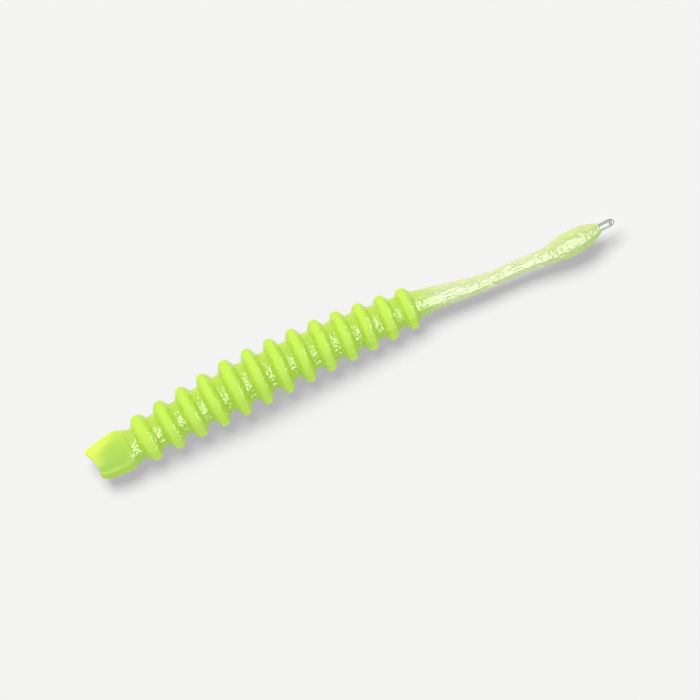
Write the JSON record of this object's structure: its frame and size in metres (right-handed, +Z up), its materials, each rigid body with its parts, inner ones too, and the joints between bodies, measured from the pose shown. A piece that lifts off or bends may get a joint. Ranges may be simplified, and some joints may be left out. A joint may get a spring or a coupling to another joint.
{
  "type": "soft plastic worm",
  "caption": "Slim ribbed soft plastic fishing worm with a flat paddle head, tapering rings, thin straight tail and a small bulb at the tip.",
  "frame": {"origin": "middle of the bounding box, on the surface the worm lies on", "axes": "+X from the head to the tail, +Y to the side, +Z up; the worm lies on z = 0"},
  "size_m": [0.0504, 0.0054, 0.0053],
  "materials": {
    "body_plastic": "soft translucent fluorescent chartreuse plastic with a wet gloss",
    "tail_plastic": "the same plastic where it is thin: paler and more see-through",
    "nub_plastic": "clear greyish soft plastic"
  },
  "bodies": {
    "head": {"head_paddle": "body_plastic"},
    "segment_01": {"ring_01": "body_plastic"},
    "segment_02": {"ring_02": "body_plastic"},
    "segment_03": {"ring_03": "body_plastic"},
    "segment_04": {"ring_04": "body_plastic"},
    "segment_05": {"ring_05": "body_plastic"},
    "segment_06": {"ring_06": "body_plastic"},
    "segment_07": {"ring_07": "body_plastic"},
    "segment_08": {"ring_08": "body_plastic"},
    "segment_09": {"ring_09": "body_plastic"},
    "segment_10": {"ring_10": "body_plastic"},
    "segment_11": {"ring_11": "body_plastic"},
    "segment_12": {"ring_12": "body_plastic"},
    "segment_13": {"ring_13": "body_plastic"},
    "tail_link_01": {"tail_01": "tail_plastic"},
    "tail_link_02": {"tail_02": "tail_plastic"},
    "tail_link_03": {"tail_03": "tail_plastic"},
    "tail_link_04": {"tail_04": "tail_plastic"},
    "tail_link_05": {"tail_05": "tail_plastic"},
    "tail_link_06": {"tail_06": "tail_plastic"},
    "tail_end": {"tail_bulb": "tail_plastic", "tip_nub": "nub_plastic"}
  },
  "joints": [
    {"name": "flex_01_sway", "type": "hinge", "parent": "segment_01", "child": "head", "pos_m": [-0.02076, -0.00067, 0.00208], "axis": [0.0819, 0.0159, -0.9965], "range_deg": [-18, 18], "stiffness_Nm_per_rad": 0.0003},
    {"name": "flex_02_lift", "type": "hinge", "parent": "segment_02", "child": "segment_01", "pos_m": [-0.01847, -0.00047, 0.00224], "axis": [-0.1331, 0.9911, 0], "range_deg": [0, 18], "stiffness_Nm_per_rad": 0.0003},
    {"name": "flex_03_sway", "type": "hinge", "parent": "segment_03", "child": "segment_02", "pos_m": [-0.01625, -0.00032, 0.00235], "axis": [0.051, 0.006, -0.9987], "range_deg": [-18, 18], "stiffness_Nm_per_rad": 0.00036},
    {"name": "flex_04_lift", "type": "hinge", "parent": "segment_04", "child": "segment_03", "pos_m": [-0.01405, -0.00018, 0.00246], "axis": [-0.1032, 0.9947, 0], "range_deg": [0, 18], "stiffness_Nm_per_rad": 0.00043},
    {"name": "flex_05_sway", "type": "hinge", "parent": "segment_05", "child": "segment_04", "pos_m": [-0.01188, -0.00005, 0.00258], "axis": [0.0589, 0.0053, -0.9983], "range_deg": [-18, 18], "stiffness_Nm_per_rad": 0.00052},
    {"name": "flex_06_lift", "type": "hinge", "parent": "segment_06", "child": "segment_05", "pos_m": [-0.00973, 0.00005, 0.00263], "axis": [-0.0793, 0.9968, 0], "range_deg": [0, 18], "stiffness_Nm_per_rad": 0.00059},
    {"name": "flex_07_sway", "type": "hinge", "parent": "segment_07", "child": "segment_06", "pos_m": [-0.0076, 0.00014, 0.00258], "axis": [-0.0236, -0.0017, -0.9997], "range_deg": [-18, 18], "stiffness_Nm_per_rad": 0.00056},
    {"name": "flex_08_lift", "type": "hinge", "parent": "segment_07", "child": "segment_08", "pos_m": [-0.00549, 0.0002, 0.00252], "axis": [0.0644, -0.9979, 0], "range_deg": [0, 18], "stiffness_Nm_per_rad": 0.00051},
    {"name": "flex_09_sway", "type": "hinge", "parent": "segment_08", "child": "segment_09", "pos_m": [-0.00341, 0.00024, 0.00244], "axis": [0.043, 0.0022, 0.9991], "range_deg": [-18, 18], "stiffness_Nm_per_rad": 0.00046},
    {"name": "flex_10_lift", "type": "hinge", "parent": "segment_09", "child": "segment_10", "pos_m": [-0.00136, 0.00025, 0.00234], "axis": [0.0404, -0.9992, 0], "range_deg": [0, 18], "stiffness_Nm_per_rad": 0.00041},
    {"name": "flex_11_sway", "type": "hinge", "parent": "segment_10", "child": "segment_11", "pos_m": [0.00068, 0.00025, 0.00223], "axis": [0.0602, 0.0021, 0.9982], "range_deg": [-18, 18], "stiffness_Nm_per_rad": 0.00035},
    {"name": "flex_12_lift", "type": "hinge", "parent": "segment_11", "child": "segment_12", "pos_m": [0.00269, 0.00025, 0.0021], "axis": [0.001, -1, 0], "range_deg": [0, 18], "stiffness_Nm_per_rad": 0.00029},
    {"name": "flex_13_sway", "type": "hinge", "parent": "segment_12", "child": "segment_13", "pos_m": [0.00467, 0.00025, 0.00195], "axis": [0.085, -0.0027, 0.9964], "range_deg": [-18, 18], "stiffness_Nm_per_rad": 0.00024},
    {"name": "flex_14_lift", "type": "hinge", "parent": "segment_13", "child": "tail_link_01", "pos_m": [0.00674, 0.00023, 0.00184], "axis": [-0.0662, -0.9978, 0], "range_deg": [0, 18], "stiffness_Nm_per_rad": 0.000089},
    {"name": "flex_15_sway", "type": "hinge", "parent": "tail_link_01", "child": "tail_link_02", "pos_m": [0.00872, 0.00004, 0.0018], "axis": [0.0164, -0.0023, 0.9999], "range_deg": [-24, 24], "stiffness_Nm_per_rad": 0.000043},
    {"name": "flex_16_lift", "type": "hinge", "parent": "tail_link_02", "child": "tail_link_03", "pos_m": [0.01069, -0.00026, 0.00178], "axis": [-0.1498, -0.9887, 0], "range_deg": [0, 24], "stiffness_Nm_per_rad": 0.000025},
    {"name": "flex_17_sway", "type": "hinge", "parent": "tail_link_03", "child": "tail_link_04", "pos_m": [0.01267, -0.0005, 0.00179], "axis": [-0.0128, 0.0009, 0.9999], "range_deg": [-24, 24], "stiffness_Nm_per_rad": 0.000013},
    {"name": "flex_18_lift", "type": "hinge", "parent": "tail_link_04", "child": "tail_link_05", "pos_m": [0.01464, -0.00055, 0.00183], "axis": [-0.0177, -0.9998, 0], "range_deg": [0, 24], "stiffness_Nm_per_rad": 0.0000076},
    {"name": "flex_19_sway", "type": "hinge", "parent": "tail_link_05", "child": "tail_link_06", "pos_m": [0.01662, -0.00064, 0.00189], "axis": [-0.0394, 0.0037, 0.9992], "range_deg": [-24, 24], "stiffness_Nm_per_rad": 0.0000091},
    {"name": "flex_20_lift", "type": "hinge", "parent": "tail_link_06", "child": "tail_end", "pos_m": [0.01859, -0.00082, 0.00197], "axis": [-0.036, -0.9994, 0], "range_deg": [0, 24], "stiffness_Nm_per_rad": 0.000016}
  ]
}
